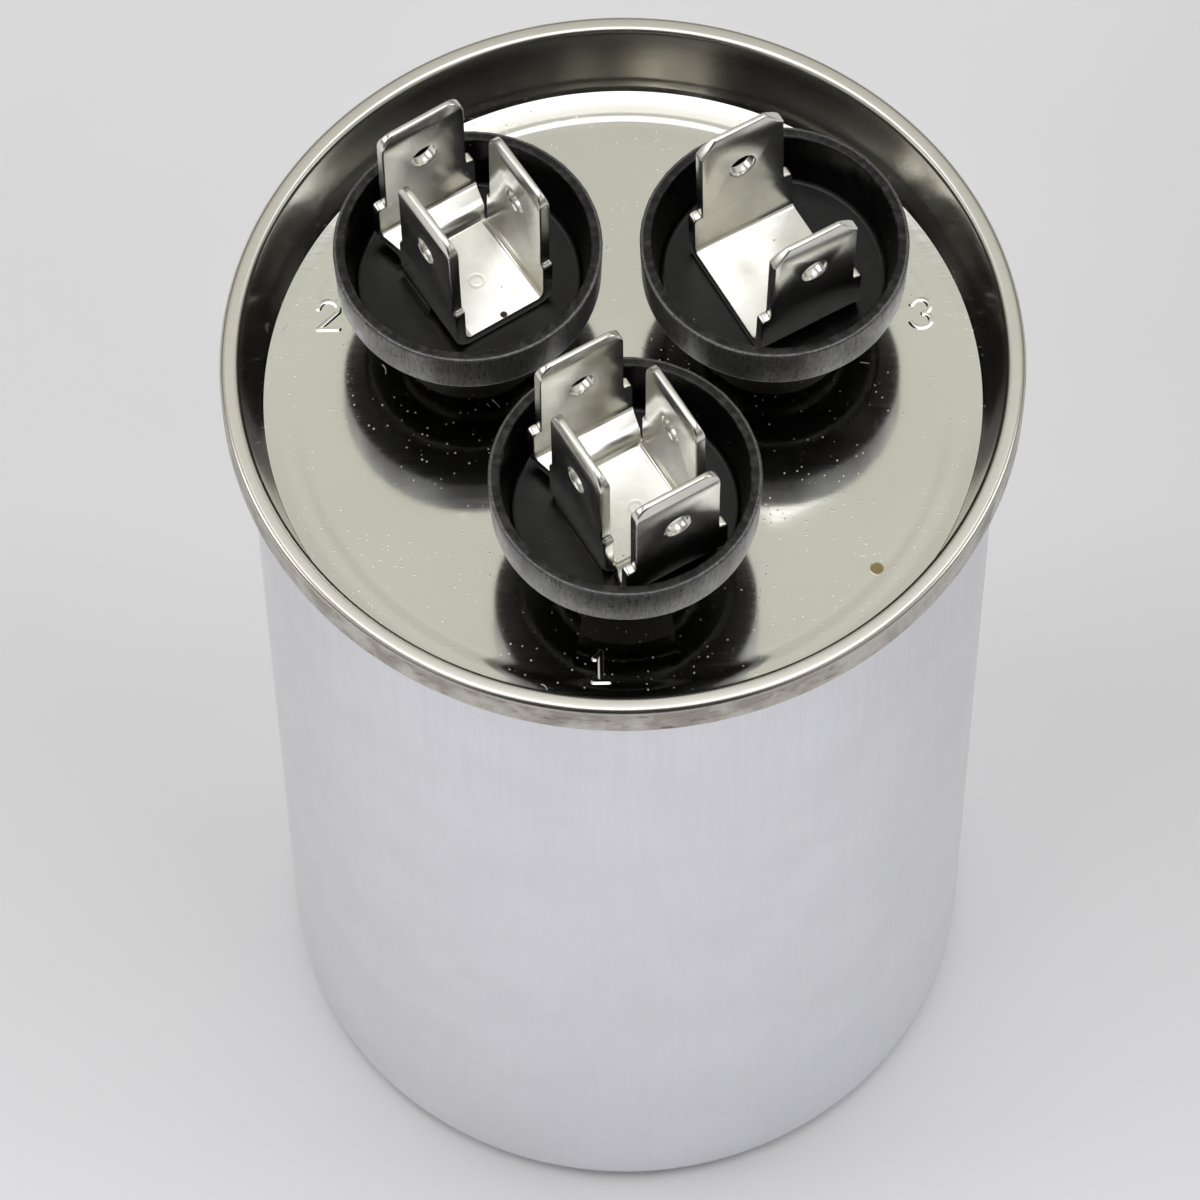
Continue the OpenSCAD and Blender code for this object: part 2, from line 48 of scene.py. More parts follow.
def addNode(tree, kind, inputs, out=0, **settings):
    # One node with its settings and its sockets, linked or set; gives back one of its outputs.
    # A list of inputs takes as many such nodes in a row as bring them all together
    if isinstance(inputs, list):
        result = inputs[0]
        for value in inputs[1:]:
            result = addNode(tree, kind, {0: result, 1: value}, out, **settings)
        return result
    node = tree.nodes.new("ShaderNode" + kind)
    for name, value in settings.items():
        setattr(node, name, value)
    for key, value in inputs.items():
        if isinstance(value, bpy.types.NodeSocket):
            tree.links.new(value, node.inputs[key])
        else:
            node.inputs[key].default_value = value
    return node.outputs[out] if len(node.outputs) else node


def newMaterial(name):
    # An empty node material, its tree and the place of each point in the object's own axes
    material = bpy.data.materials.new(name)
    material.use_nodes = True
    material.node_tree.nodes.clear()
    return material, material.node_tree, addNode(material.node_tree, "TexCoord", {}, "Object")


def meshObject(name, points, faces, sharpAngle=35):
    # A smooth-shaded object with doubled points merged, faces outwards and edges past the angle kept sharp
    mesh = bpy.data.meshes.new(name)
    mesh.from_pydata([tuple(p) for p in points], [], [tuple(f) for f in faces])
    work = bmesh.new()
    work.from_mesh(mesh)
    bmesh.ops.remove_doubles(work, verts=work.verts, dist=1e-7)
    bmesh.ops.dissolve_degenerate(work, edges=work.edges, dist=1e-8)
    bmesh.ops.recalc_face_normals(work, faces=work.faces)
    work.to_mesh(mesh)
    work.free()
    mesh.shade_smooth()
    mesh.set_sharp_from_angle(angle=math.radians(sharpAngle))
    piece = bpy.data.objects.new(name, mesh)
    bpy.context.scene.collection.objects.link(piece)
    return piece


def cornerArc(a, b, c, r, n):
    # Points of the arc of radius r that touches the lines a-b and b-c
    a, b, c = (np.array(p, float) for p in (a, b, c))
    u = (a - b) / np.linalg.norm(a - b)
    v = (c - b) / np.linalg.norm(c - b)
    half = math.acos(float(np.clip(u @ v, -1, 1))) / 2
    middle = b + (u + v) / np.linalg.norm(u + v) * r / math.sin(half)
    p = b + u * r / math.tan(half) - middle
    q = b + v * r / math.tan(half) - middle
    start = math.atan2(p[1], p[0])
    turn = (math.atan2(q[1], q[0]) - start + math.pi) % (2 * math.pi) - math.pi
    angles = [start + turn * i / n for i in range(n + 1)]
    return [middle + r * np.array([math.cos(angle), math.sin(angle)]) for angle in angles]


def bent(corners, n):
    # A line through the corners, each rounded by its own radius
    points = [np.array(corners[0][:2], float)]
    for before, here, after in zip(corners, corners[1:], corners[2:]):
        points += cornerArc(before[:2], here[:2], after[:2], here[2], n) if here[2] > 0 else [np.array(here[:2], float)]
    points.append(np.array(corners[-1][:2], float))
    kept = [points[0]]
    for p in points[1:]:
        if np.linalg.norm(p - kept[-1]) > 1e-3:
            kept.append(p)
    return np.array(kept)


def offsetLine(line, d):
    # Each point moved by d along its mitre, the mean of its two edges' normals
    along = np.diff(line, axis=0)
    normals = np.stack([-along[:, 1], along[:, 0]], 1) / np.linalg.norm(along, axis=1)[:, None]
    a = np.vstack([normals[:1], normals])
    b = np.vstack([normals, normals[-1:]])
    m = (a + b) / np.linalg.norm(a + b, axis=1)[:, None]
    return line + m * (d / (m * a).sum(1))[:, None]


def spun(name, profile, steps, centre=(0.0, 0.0, 0.0), uneven=None):
    # x = radius times cos of the angle, y = radius times sin, z = height, for a closed line of radius and height in mm
    profile = np.array(profile)
    angles = np.linspace(0, 2 * np.pi, steps, endpoint=False)[:, None]
    r = np.broadcast_to(profile[:, 0], (steps, len(profile)))
    z = np.broadcast_to(profile[:, 1], (steps, len(profile)))
    if uneven is not None:
        r, z = uneven(r, z, angles)
    points = np.stack([r * np.cos(angles) + centre[0], r * np.sin(angles) + centre[1], z + centre[2]], 2)
    n = len(profile)
    i, j = np.meshgrid(np.arange(steps), np.arange(n), indexing="ij")
    i2, j2 = (i + 1) % steps, (j + 1) % n
    faces = np.stack([i * n + j, i2 * n + j, i2 * n + j2, i * n + j2], 2).reshape(-1, 4)
    return meshObject(name, points.reshape(-1, 3) * mm, faces)


def dress(piece, material, node):
    # The piece takes the material and stands in for the solid of that name
    piece.data.materials.clear()
    piece.data.materials.append(material)
    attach(piece, "root")
    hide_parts(node)


# Sizes that several pieces share, mm
canValues = {"outer": 25.4, "height": 80.0, "wall": 0.32, "base": 0.8, "baseRound": 2.0, "steps": 384}
lidValues = {"sheet": 0.22, "seamOut": 1.55, "seamLength": 2.8, "gap": 0.03, "flare": 12.0, "countersink": 5.65,
             "taper": 14.5, "foot": 0.15, "footOut": 0.05, "beadCorner": 0.34, "hole": 3.2, "holeSteps": 64,
             "steps": 512}
# Heights of a cup are over the panel
cupValues = {"rim": 9.0, "wall": 0.8, "top": 10.3, "band": 3.5, "depth": 4.3, "floor": 1.4, "floorR": 7.15,
             "neckR": 4.5, "spigotR": 3.0, "gasket": 1.2, "spigotZ": -1.37, "boreR": 1.55, "headR": 3.05,
             "headT": 1.0, "draft": 0.12, "neckRound": 0.6, "bowlRound": 0.8, "bandRound": 0.3, "rimRound": 0.15,
             "wellRound": 0.4, "wellDraft": 0.4, "steps": 256}
flashValues = {"size": 0.02, "reach": 0.35, "mean": 0.6, "waves": (23, 41, 67)}
canR = canValues["outer"]
seamWallR = canR + lidValues["seamOut"] - lidValues["sheet"] / 2
layerStep = (lidValues["sheet"] + canValues["wall"]) / 2 + lidValues["gap"]
bodyHookR = seamWallR - layerStep
coverHookR = bodyHookR - layerStep
bodyWallR = coverHookR - layerStep
chuckWallR = bodyWallR - layerStep
beadR = (seamWallR - chuckWallR) / 2
foldR = (bodyHookR - bodyWallR) / 2
curlR = (seamWallR - coverHookR) / 2
seamZ = canValues["height"] - lidValues["seamLength"]
bodyTopZ = canValues["height"] - lidValues["sheet"] - lidValues["gap"] - canValues["wall"] / 2
hookTipZ = bodyTopZ - foldR - lidValues["gap"]
hookEndZ = seamZ + lidValues["sheet"] + lidValues["gap"] + curlR
taper = math.radians(lidValues["taper"])
flare = math.radians(lidValues["flare"])
chuckTopR = seamWallR - beadR - beadR / math.tan(math.pi / 4 + taper / 2)
chuckFootR = chuckTopR - lidValues["countersink"] * math.tan(taper)
flangeTopR = bodyHookR - foldR - foldR / math.tan(math.pi / 4 + flare / 2)
flareZ = bodyTopZ - (flangeTopR - canR + canValues["wall"] / 2) / math.tan(flare)
panelZ = canValues["height"] - lidValues["countersink"]
terminalSpots = {"front": 270, "left": 150, "right": 30}
pitchR = 11.8


def spotOf(side):
    angle = math.radians(terminalSpots[side])
    return pitchR * math.cos(angle), pitchR * math.sin(angle), panelZ


def drawnAluminium():
    # Impact-drawn aluminium can, chemically cleaned: pale satin, faint upright draw lines that fade downwards
    material, tree, place = newMaterial("drawn_aluminium")
    z = addNode(tree, "SeparateXYZ", {0: place}, 2)
    across = addNode(tree, "Mapping", {"Vector": place, "Scale": (1 / (0.35 * mm), 1 / (0.35 * mm), 1 / (9 * mm))})
    lines = addNode(tree, "TexNoise", {"Vector": across, "Scale": 1.0, "Detail": 3.0})
    cloud = addNode(tree, "TexNoise", {"Vector": place, "Scale": 1 / (7 * mm), "Detail": 3.0})
    grain = addNode(tree, "TexNoise", {"Vector": place, "Scale": 1 / (0.22 * mm), "Detail": 3.0, "Roughness": 0.6})
    nicks = addNode(tree, "TexNoise", {"Vector": place, "Scale": 1 / (0.6 * mm), "Detail": 4.0, "Roughness": 0.65})
    upper = addNode(tree, "MapRange", {
        0: z, 1: 45 * mm, 2: 76 * mm, 3: 0.35, 4: 1.0}, interpolation_type="SMOOTHSTEP")
    marked = addNode(tree, "Math", [
        upper,
        addNode(tree, "MapRange", {0: nicks, 1: 0.62, 2: 0.74, 3: 0.0, 4: 0.22}, interpolation_type="SMOOTHSTEP")
    ], operation="MULTIPLY")
    drawn = addNode(tree, "Math", [
        upper,
        addNode(tree, "MapRange", {0: lines, 1: 0.35, 2: 0.7, 3: 0.0, 4: 0.3}, interpolation_type="SMOOTHSTEP")
    ], operation="MULTIPLY")
    colour = addNode(tree, "Mix", {
        0: addNode(tree, "MapRange", {0: cloud, 1: 0.3, 2: 0.7}, interpolation_type="SMOOTHSTEP"),
        6: linear("#e4e5e9"), 7: linear("#e8e9ed")}, 2, data_type="RGBA")
    colour = addNode(tree, "Mix", {0: drawn, 6: colour, 7: linear("#dddee3")}, 2, data_type="RGBA")
    colour = addNode(tree, "Mix", {0: marked, 6: colour, 7: linear("#bbbabc")}, 2, data_type="RGBA")
    rough = addNode(tree, "Math", [
        addNode(tree, "MapRange", {0: grain, 1: 0.3, 2: 0.7, 3: 0.37, 4: 0.43}, interpolation_type="SMOOTHSTEP"),
        addNode(tree, "MapRange", {0: lines, 1: 0.3, 2: 0.7, 3: 0.0, 4: 0.03}, interpolation_type="SMOOTHSTEP")
    ], operation="ADD")
    normal = addNode(tree, "Bump", {"Height": grain, "Distance": 0.006 * mm, "Strength": 0.5})
    normal = addNode(tree, "Bump", {"Height": lines, "Distance": 0.004 * mm, "Strength": 0.3, "Normal": normal})
    shader = addNode(tree, "BsdfPrincipled", {
        "Base Color": colour, "Metallic": 1.0, "Roughness": rough, "Normal": normal})
    addNode(tree, "OutputMaterial", {0: shader})
    return material


def rolledTinplate():
    # Bright tinplate, rolled and pressed: near mirror on the panel, burnished and scuffed where the seaming rolls ran,
    # the chuck wall darkened by painted shade
    material, tree, place = newMaterial("rolled_tinplate")
    x = addNode(tree, "SeparateXYZ", {0: place}, 0)
    y = addNode(tree, "SeparateXYZ", {0: place}, 1)
    z = addNode(tree, "SeparateXYZ", {0: place}, 2)
    flat = addNode(tree, "CombineXYZ", {0: x, 1: y})
    radius = addNode(tree, "VectorMath", {0: flat}, 1, operation="LENGTH")
    onSeam = addNode(tree, "MapRange", {0: radius, 1: 25.35 * mm, 2: 25.75 * mm}, interpolation_type="SMOOTHSTEP")
    onWall = addNode(tree, "Math", [
        addNode(tree, "MapRange", {0: radius, 1: 26.5 * mm, 2: 26.8 * mm}, interpolation_type="SMOOTHSTEP"),
        addNode(tree, "MapRange", {0: z, 1: 79.85 * mm, 2: 79.55 * mm}, interpolation_type="SMOOTHSTEP")
    ], operation="MULTIPLY")
    onChuck = addNode(tree, "Math", [
        addNode(tree, "MapRange", {
            0: z, 1: (panelZ + 0.35) * mm, 2: (panelZ + 0.9) * mm}, interpolation_type="SMOOTHSTEP"),
        addNode(tree, "MapRange", {0: radius, 1: 25.75 * mm, 2: 25.35 * mm}, interpolation_type="SMOOTHSTEP")
    ], operation="MULTIPLY")
    along = addNode(tree, "Mapping", {"Vector": place, "Scale": (1 / (6 * mm), 1 / (0.15 * mm), 1 / (0.15 * mm))})
    grain = addNode(tree, "TexNoise", {"Vector": along, "Scale": 1.0, "Detail": 2.0})
    waves = addNode(tree, "TexNoise", {"Vector": place, "Scale": 1 / (9 * mm), "Detail": 1.0})
    # Roll marks lie level: long across, thin upright
    level = addNode(tree, "Mapping", {"Vector": place, "Scale": (1 / (1.6 * mm), 1 / (1.6 * mm), 1 / (0.25 * mm))})
    rolled = addNode(tree, "TexNoise", {"Vector": level, "Scale": 1.0, "Detail": 4.0, "Roughness": 0.6})
    tarnish = addNode(tree, "TexNoise", {"Vector": place, "Scale": 1 / (2.6 * mm), "Detail": 4.0, "Roughness": 0.6})
    bloom = addNode(tree, "Math", [
        onWall,
        addNode(tree, "MapRange", {0: tarnish, 1: 0.36, 2: 0.64, 3: 0.25, 4: 1.0}, interpolation_type="SMOOTHSTEP")
    ], operation="MULTIPLY")
    scuff = addNode(tree, "Math", [
        onWall, addNode(tree, "MapRange", {0: rolled, 1: 0.57, 2: 0.68}, interpolation_type="SMOOTHSTEP"),
        addNode(tree, "MapRange", {0: tarnish, 1: 0.4, 2: 0.56}, interpolation_type="SMOOTHSTEP")
    ], operation="MULTIPLY")
    # Dust: grains up to a tenth of a millimetre in cells 0.45 mm wide, thicker in some places than in others
    cells = addNode(tree, "TexVoronoi", {"Vector": place, "Scale": 1 / (0.45 * mm)}, "Distance")
    shade = addNode(tree, "TexVoronoi", {"Vector": place, "Scale": 1 / (0.45 * mm)}, "Color")
    chance = addNode(tree, "SeparateXYZ", {0: shade}, 0)
    settled = addNode(tree, "TexNoise", {"Vector": place, "Scale": 1 / (5 * mm), "Detail": 2.0})
    dust = addNode(tree, "Math", [
        addNode(tree, "MapRange", {0: cells, 1: 0.17, 2: 0.07}, interpolation_type="SMOOTHSTEP"),
        addNode(tree, "MapRange", {0: chance, 1: 0.2, 2: 0.8}, interpolation_type="SMOOTHSTEP"),
        addNode(tree, "MapRange", {0: settled, 1: 0.36, 2: 0.6, 3: 0.1, 4: 1.0}, interpolation_type="SMOOTHSTEP")
    ], operation="MULTIPLY")
    # Lint: short pieces of the curved lines where a noise crosses its middle value
    lineNoise = addNode(tree, "TexNoise", {"Vector": place, "Scale": 1 / (1.5 * mm), "Detail": 0.0})
    nearLine = addNode(tree, "Math", {
        0: addNode(tree, "Math", {0: lineNoise, 1: 0.5}, operation="SUBTRACT")}, operation="ABSOLUTE")
    plots = addNode(tree, "TexVoronoi", {"Vector": place, "Scale": 1 / (3.1 * mm)}, "Distance")
    plotChance = addNode(tree, "SeparateXYZ", {
        0: addNode(tree, "TexVoronoi", {"Vector": place, "Scale": 1 / (3.1 * mm)}, "Color")}, 1)
    lint = addNode(tree, "Math", [
        addNode(tree, "MapRange", {0: nearLine, 1: 0.016, 2: 0.008, 3: 0.0, 4: 0.7}, interpolation_type="SMOOTHSTEP"),
        addNode(tree, "MapRange", {0: plots, 1: 0.17, 2: 0.12}, interpolation_type="SMOOTHSTEP"),
        addNode(tree, "MapRange", {0: plotChance, 1: 0.7, 2: 0.74}, interpolation_type="SMOOTHSTEP")
    ], operation="MULTIPLY")
    # A drop of dried flux near the front right of the panel
    dropSpot = (16.7 * mm, -13.45 * mm, panelZ * mm)
    away = addNode(tree, "VectorMath", {0: place, 1: dropSpot}, 1, operation="DISTANCE")
    drop = addNode(tree, "MapRange", {
        0: addNode(tree, "Math", [
            away,
            addNode(tree, "MapRange", {
                0: tarnish, 1: 0.3, 2: 0.7, 3: -0.12 * mm, 4: 0.12 * mm}, interpolation_type="SMOOTHSTEP")
        ], operation="ADD"),
        1: 0.46 * mm, 2: 0.34 * mm}, interpolation_type="SMOOTHSTEP")
    onPanel = addNode(tree, "MapRange", {
        0: z, 1: (panelZ + 0.6) * mm, 2: (panelZ + 0.3) * mm}, interpolation_type="SMOOTHSTEP")
    specks = addNode(tree, "Math", [
        addNode(tree, "Math", {0: dust, 1: lint}, operation="MAXIMUM"), onPanel], operation="MULTIPLY")
    colour = addNode(tree, "Mix", {
        0: addNode(tree, "MapRange", {0: waves, 1: 0.3, 2: 0.7}, interpolation_type="SMOOTHSTEP"),
        6: linear("#dbdbd4"), 7: linear("#dfdfd9")}, 2, data_type="RGBA")
    colour = addNode(tree, "Mix", {0: onSeam, 6: colour, 7: linear("#cbc9c1")}, 2, data_type="RGBA")
    colour = addNode(tree, "Mix", {0: bloom, 6: colour, 7: linear("#9a9389")}, 2, data_type="RGBA")
    # Painted shade: the chuck wall's colour is darkened and browned, standing in for the dark reflections it shows
    colour = addNode(tree, "Mix", {
        0: addNode(tree, "Math", [onChuck, 0.45], operation="MULTIPLY"), 6: colour, 7: linear("#8a7f76")
    }, 2, data_type="RGBA")
    colour = addNode(tree, "Mix", {0: scuff, 6: colour, 7: linear("#6f6153")}, 2, data_type="RGBA")
    colour = addNode(tree, "Mix", {0: specks, 6: colour, 7: linear("#c9c8c3")}, 2, data_type="RGBA")
    colour = addNode(tree, "Mix", {0: drop, 6: colour, 7: linear("#8d7e4c")}, 2, data_type="RGBA")
    rough = addNode(tree, "Math", [
        addNode(tree, "MapRange", {0: grain, 1: 0.3, 2: 0.7, 3: 0.085, 4: 0.115}, interpolation_type="SMOOTHSTEP"),
        addNode(tree, "Math", [onSeam, 0.15], operation="MULTIPLY"),
        addNode(tree, "Math", [onChuck, 0.05], operation="MULTIPLY"),
        addNode(tree, "Math", [bloom, 0.1], operation="MULTIPLY"),
        addNode(tree, "Math", [specks, 0.5], operation="MULTIPLY"),
        addNode(tree, "Math", [drop, 0.25], operation="MULTIPLY")], operation="ADD")
    metal = addNode(tree, "Math", {
        0: 1.0,
        1: addNode(tree, "Math", [
            addNode(tree, "Math", [specks, 0.85], operation="MULTIPLY"),
            addNode(tree, "Math", [drop, 0.8], operation="MULTIPLY")], operation="ADD")}, operation="SUBTRACT")
    normal = addNode(tree, "Bump", {"Height": waves, "Distance": 0.02 * mm, "Strength": 0.3})
    normal = addNode(tree, "Bump", {"Height": grain, "Distance": 0.0015 * mm, "Strength": 0.25, "Normal": normal})
    normal = addNode(tree, "Bump", {
        "Height": addNode(tree, "Math", [specks, drop], operation="ADD"), "Distance": 0.02 * mm, "Strength": 0.4,
        "Normal": normal})
    shader = addNode(tree, "BsdfPrincipled", {
        "Base Color": colour, "Metallic": metal, "Roughness": rough, "Normal": normal})
    addNode(tree, "OutputMaterial", {0: shader})
    return material


def mouldedBlack():
    # Black flame-retardant polyester resin, moulded: semi-gloss, its outer bands burnished by handling and lightened by
    # a painted sheen
    material, tree, place = newMaterial("moulded_black_resin")
    z = addNode(tree, "SeparateXYZ", {0: place}, 2)
    rimZ = (panelZ + cupValues["top"]) * mm
    bandZ = rimZ - cupValues["band"] * mm
    rimR = cupValues["rim"] * mm
    onBand = addNode(tree, "MapRange", {
        0: z, 1: bandZ - 0.25 * mm, 2: bandZ + 0.05 * mm}, interpolation_type="SMOOTHSTEP")
    plan = addNode(tree, "VectorMath", {0: place, 1: (1, 1, 0)}, operation="MULTIPLY")
    nearest = None
    for side in terminalSpots:
        x, y, _ = spotOf(side)
        reach = addNode(tree, "VectorMath", {0: plan, 1: (x * mm, y * mm, 0)}, 1, operation="DISTANCE")
        nearest = reach if nearest is None else addNode(tree, "Math", {0: nearest, 1: reach}, operation="MINIMUM")
    outside = addNode(tree, "MapRange", {
        0: nearest, 1: rimR - 0.28 * mm, 2: rimR - 0.14 * mm}, interpolation_type="SMOOTHSTEP")
    onRim = addNode(tree, "MapRange", {
        0: z, 1: rimZ - 0.22 * mm, 2: rimZ - 0.06 * mm}, interpolation_type="SMOOTHSTEP")
    mottled = addNode(tree, "TexNoise", {"Vector": place, "Scale": 1 / (0.9 * mm), "Detail": 4.0, "Roughness": 0.6})
    # Short upright strokes left by the mould and by rubbing, drawn a little coarser than they are
    upright = addNode(tree, "Mapping", {"Vector": place, "Scale": (1 / (0.16 * mm), 1 / (0.16 * mm), 1 / (1.1 * mm))})
    strokes = addNode(tree, "TexNoise", {"Vector": upright, "Scale": 1.0, "Detail": 4.0, "Roughness": 0.65})
    # Metal rubbed off on the bands leaves grey specks and strokes, their grey raised further as a painted sheen
    fine = addNode(tree, "TexNoise", {"Vector": place, "Scale": 1 / (0.3 * mm), "Detail": 3.0, "Roughness": 0.7})
    rubbedAndSheen = addNode(tree, "Math", [
        onBand, outside,
        addNode(tree, "MapRange", {
            0: addNode(tree, "Math", [
                addNode(tree, "Math", [strokes, 0.6], operation="MULTIPLY"),
                addNode(tree, "Math", [fine, 0.4], operation="MULTIPLY")], operation="ADD"),
            1: 0.36, 2: 0.6, 3: 0.35, 4: 1.0}, interpolation_type="SMOOTHSTEP")], operation="MULTIPLY")
    worn = addNode(tree, "Math", [
        onRim,
        addNode(tree, "MapRange", {0: mottled, 1: 0.45, 2: 0.65, 3: 0.0, 4: 0.3}, interpolation_type="SMOOTHSTEP")
    ], operation="MULTIPLY")
    cells = addNode(tree, "TexVoronoi", {"Vector": place, "Scale": 1 / (1.0 * mm)}, "Distance")
    shade = addNode(tree, "TexVoronoi", {"Vector": place, "Scale": 1 / (1.0 * mm)}, "Color")
    dust = addNode(tree, "Math", [
        addNode(tree, "MapRange", {0: cells, 1: 0.075, 2: 0.035}, interpolation_type="SMOOTHSTEP"),
        addNode(tree, "MapRange", {
            0: addNode(tree, "SeparateXYZ", {0: shade}, 0), 1: 0.55, 2: 0.9, 3: 0.0, 4: 0.75
        }, interpolation_type="SMOOTHSTEP")], operation="MULTIPLY")
    colour = addNode(tree, "Mix", {
        0: addNode(tree, "MapRange", {0: mottled, 1: 0.3, 2: 0.7}, interpolation_type="SMOOTHSTEP"),
        6: linear("#070708"), 7: linear("#0b0b0c")}, 2, data_type="RGBA")
    # Painted sheen together with rubbing wear: the bands lighten towards pale grey
    colour = addNode(tree, "Mix", {
        0: addNode(tree, "Math", [rubbedAndSheen, 0.36], operation="MULTIPLY"), 6: colour, 7: linear("#b9b9ba")
    }, 2, data_type="RGBA")
    colour = addNode(tree, "Mix", {0: worn, 6: colour, 7: linear("#4b4a48")}, 2, data_type="RGBA")
    colour = addNode(tree, "Mix", {0: dust, 6: colour, 7: linear("#9c9a96")}, 2, data_type="RGBA")
    rough = addNode(tree, "Math", [
        addNode(tree, "MapRange", {0: mottled, 1: 0.3, 2: 0.7, 3: 0.2, 4: 0.28}, interpolation_type="SMOOTHSTEP"),
        addNode(tree, "Math", [rubbedAndSheen, 0.12], operation="MULTIPLY")], operation="ADD")
    normal = addNode(tree, "Bump", {"Height": mottled, "Distance": 0.02 * mm, "Strength": 0.35})
    normal = addNode(tree, "Bump", {"Height": strokes, "Distance": 0.012 * mm, "Strength": 0.35, "Normal": normal})
    shader = addNode(tree, "BsdfPrincipled", {
        "Base Color": colour, "Metallic": addNode(tree, "Math", [rubbedAndSheen, 0.75], operation="MULTIPLY"),
        "Roughness": rough, "IOR": 1.37, "Normal": normal})
    addNode(tree, "OutputMaterial", {0: shader})
    return material


def platedStrip():
    # Bright tin plate on blanked and folded brass strip: satin, with fine pits, weld marks and a few dark specks
    material, tree, place = newMaterial("bright_tin_plate")
    waves = addNode(tree, "TexNoise", {"Vector": place, "Scale": 1 / (4 * mm), "Detail": 1.0})
    grain = addNode(tree, "TexNoise", {"Vector": place, "Scale": 1 / (0.16 * mm), "Detail": 3.0, "Roughness": 0.6})
    rubs = addNode(tree, "TexNoise", {"Vector": place, "Scale": 1 / (1.2 * mm), "Detail": 4.0, "Roughness": 0.6})
    cells = addNode(tree, "TexVoronoi", {"Vector": place, "Scale": 1 / (1.3 * mm)}, "Distance")
    shade = addNode(tree, "TexVoronoi", {"Vector": place, "Scale": 1 / (1.3 * mm)}, "Color")
    pits = addNode(tree, "Math", [
        addNode(tree, "MapRange", {0: cells, 1: 0.07, 2: 0.035}, interpolation_type="SMOOTHSTEP"),
        addNode(tree, "MapRange", {
            0: addNode(tree, "SeparateXYZ", {0: shade}, 0), 1: 0.72, 2: 0.86}, interpolation_type="SMOOTHSTEP")
    ], operation="MULTIPLY")
    # Weld marks: a ring where the distance from the spot is near 0.45 mm
    rings = None
    weldSpots = ((0.7, -12.3, 81.1), (-9.7, 5.2, 81.1), (10.6, 5.0, 81.1))
    for spot in weldSpots:
        away = addNode(tree, "VectorMath", {0: place, 1: tuple(v * mm for v in spot)}, 1, operation="DISTANCE")
        ring = addNode(tree, "Math", [
            addNode(tree, "MapRange", {0: away, 1: 0.28 * mm, 2: 0.45 * mm}, interpolation_type="SMOOTHSTEP"),
            addNode(tree, "MapRange", {0: away, 1: 0.66 * mm, 2: 0.48 * mm}, interpolation_type="SMOOTHSTEP")
        ], operation="MULTIPLY")
        rings = ring if rings is None else addNode(tree, "Math", [rings, ring], operation="ADD")
    speckSpot = (-7.9 * mm, 2.55 * mm, 81.2 * mm)
    speckAway = addNode(tree, "VectorMath", {0: place, 1: speckSpot}, 1, operation="DISTANCE")
    speck = addNode(tree, "MapRange", {0: speckAway, 1: 0.3 * mm, 2: 0.2 * mm}, interpolation_type="SMOOTHSTEP")
    colour = addNode(tree, "Mix", {
        0: addNode(tree, "MapRange", {0: rubs, 1: 0.3, 2: 0.7}, interpolation_type="SMOOTHSTEP"),
        6: linear("#e3e2db"), 7: linear("#e9e8e2")}, 2, data_type="RGBA")
    colour = addNode(tree, "Mix", {
        0: addNode(tree, "Math", [pits, 0.7], operation="MULTIPLY"), 6: colour, 7: linear("#6c6860")
    }, 2, data_type="RGBA")
    colour = addNode(tree, "Mix", {
        0: addNode(tree, "Math", [rings, 0.15], operation="MULTIPLY"), 6: colour, 7: linear("#b9b4a4")
    }, 2, data_type="RGBA")
    colour = addNode(tree, "Mix", {0: speck, 6: colour, 7: linear("#4a443c")}, 2, data_type="RGBA")
    rough = addNode(tree, "Math", [
        addNode(tree, "MapRange", {0: grain, 1: 0.3, 2: 0.7, 3: 0.215, 4: 0.255}, interpolation_type="SMOOTHSTEP"),
        addNode(tree, "MapRange", {0: rubs, 1: 0.5, 2: 0.8, 3: 0.0, 4: 0.03}, interpolation_type="SMOOTHSTEP"),
        addNode(tree, "Math", [speck, 0.4], operation="MULTIPLY")], operation="ADD")
    normal = addNode(tree, "Bump", {"Height": waves, "Distance": 0.02 * mm, "Strength": 0.05})
    normal = addNode(tree, "Bump", {"Height": grain, "Distance": 0.004 * mm, "Strength": 0.18, "Normal": normal})
    normal = addNode(tree, "Bump", {
        "Height": addNode(tree, "Math", [rings, pits], operation="ADD"), "Distance": -0.012 * mm, "Strength": 0.35,
        "Normal": normal})
    shader = addNode(tree, "BsdfPrincipled", {
        "Base Color": colour, "Metallic": 1.0, "Roughness": rough, "Normal": normal})
    addNode(tree, "OutputMaterial", {0: shader})
    return material


def innerFinish(name, low, high, grainSize, rough, metallic=0.0):
    # Finish of a piece inside the can: two close tones in fine grain
    material, tree, place = newMaterial(name)
    grain = addNode(tree, "TexNoise", {"Vector": place, "Scale": 1 / (grainSize * mm), "Detail": 4.0})
    colour = addNode(tree, "Mix", {
        0: addNode(tree, "MapRange", {0: grain, 1: 0.3, 2: 0.7}, interpolation_type="SMOOTHSTEP"), 6: linear(low),
        7: linear(high)}, 2, data_type="RGBA")
    shader = addNode(tree, "BsdfPrincipled", {
        "Base Color": colour, "Metallic": metallic,
        "Roughness": addNode(tree, "MapRange", {
            0: grain, 1: 0.3, 2: 0.7, 3: rough - 0.06, 4: rough + 0.06}, interpolation_type="SMOOTHSTEP"),
        "Normal": addNode(tree, "Bump", {"Height": grain, "Distance": 0.01 * mm, "Strength": 0.4})})
    addNode(tree, "OutputMaterial", {0: shader})
    return material


